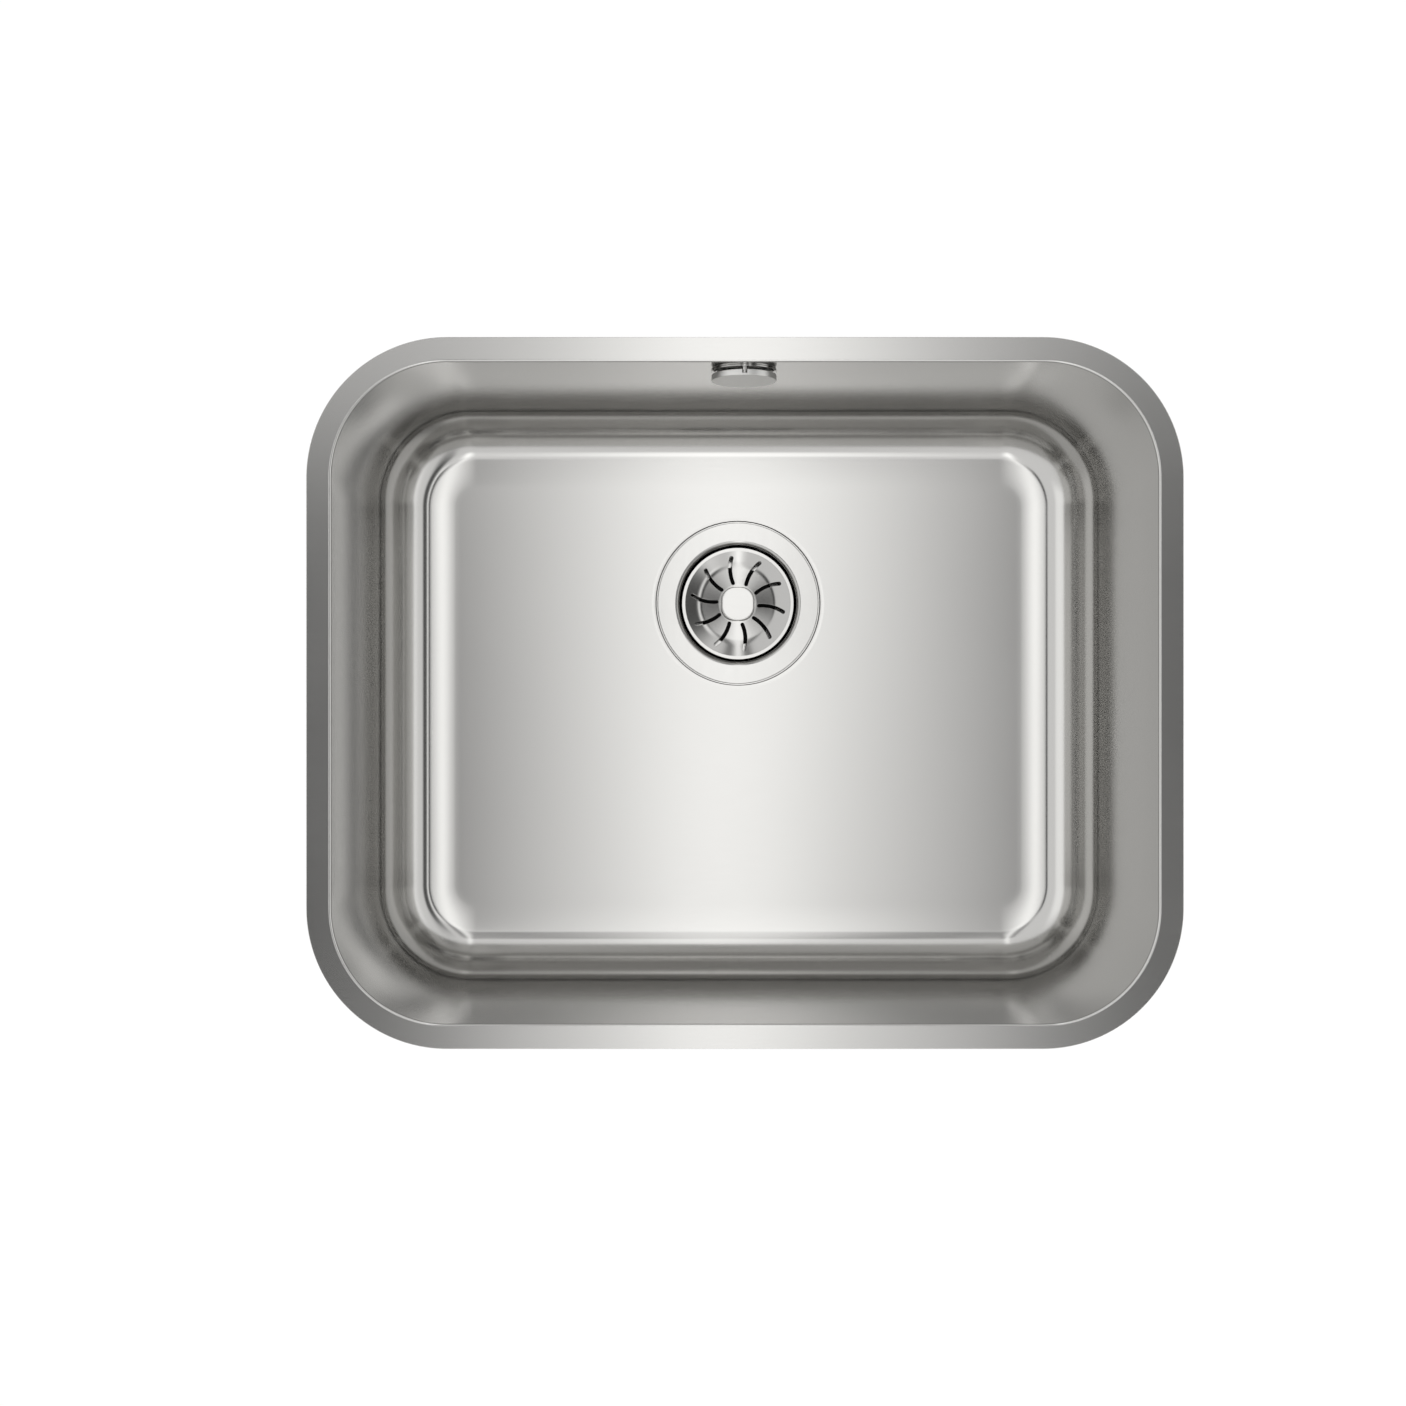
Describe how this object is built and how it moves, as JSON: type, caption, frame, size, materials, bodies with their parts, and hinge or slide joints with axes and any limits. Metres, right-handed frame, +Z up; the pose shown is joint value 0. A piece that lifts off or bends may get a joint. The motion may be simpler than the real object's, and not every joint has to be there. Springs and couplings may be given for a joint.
{
  "type": "undermount kitchen sink",
  "caption": "Undermount kitchen sink: a pressed steel bowl with a flat rim, a lift-out basket strainer waste and a piped overflow with a round cover.",
  "frame": {"origin": "centre of the rim's top face", "axes": "+X right along the long side, +Y towards the wall with the overflow, +Z up"},
  "size_m": [0.53, 0.4367, 0.2935],
  "materials": {
    "bowl_steel": "satin stainless steel",
    "cup_steel": "polished stainless steel",
    "basket_steel": "polished stainless steel",
    "knob_steel": "satin stainless steel",
    "cover_steel": "satin face, polished edge",
    "base_steel": "polished stainless steel",
    "screw_steel": "turned stainless steel",
    "brass": "turned brass",
    "seal_rubber": "matt black rubber",
    "sound_pad": "matt bitumen felt",
    "waste_plastic": "moulded polypropylene",
    "nut_plastic": "moulded polypropylene",
    "hose_plastic": "ribbed polyethylene"
  },
  "bodies": {
    "sink": {"bowl": "bowl_steel", "floor_sound_pad": "sound_pad", "wall_sound_pads": "sound_pad", "strainer_cup": "cup_steel", "cup_flange_seal": "seal_rubber", "under_floor_seal": "seal_rubber", "waste_body": "waste_plastic", "insert_nut": "brass", "hollow_screw": "screw_steel", "overflow_base": "base_steel", "overflow_pegs": "base_steel", "overflow_screw": "screw_steel", "overflow_seal": "seal_rubber", "overflow_elbow": "waste_plastic", "overflow_hose": "hose_plastic", "hose_clip": "screw_steel", "hose_union_nut": "nut_plastic", "hose_cone_washer": "seal_rubber"},
    "basket_core": {"knob_stem": "screw_steel", "stem_washer": "screw_steel", "plug_seal": "seal_rubber", "stem_nut": "screw_steel", "catch_ring": "screw_steel"},
    "basket": {"strainer_basket": "basket_steel", "strainer_knob": "knob_steel"},
    "cover": {"overflow_cover": "cover_steel"}
  },
  "joints": [
    {"name": "basket_lift", "type": "slide", "parent": "sink", "child": "basket_core", "axis": [0, 0, 1], "range_m": [0, 0.27]},
    {"name": "basket_turn", "type": "hinge", "parent": "basket_core", "child": "basket", "pos_m": [0, 0.0638, -0.2098], "axis": [0, 0, 1], "continuous": true},
    {"name": "cover_pull", "type": "slide", "parent": "sink", "child": "cover", "axis": [0, -0.9984, 0.0558], "range_m": [0, 0.06]}
  ]
}
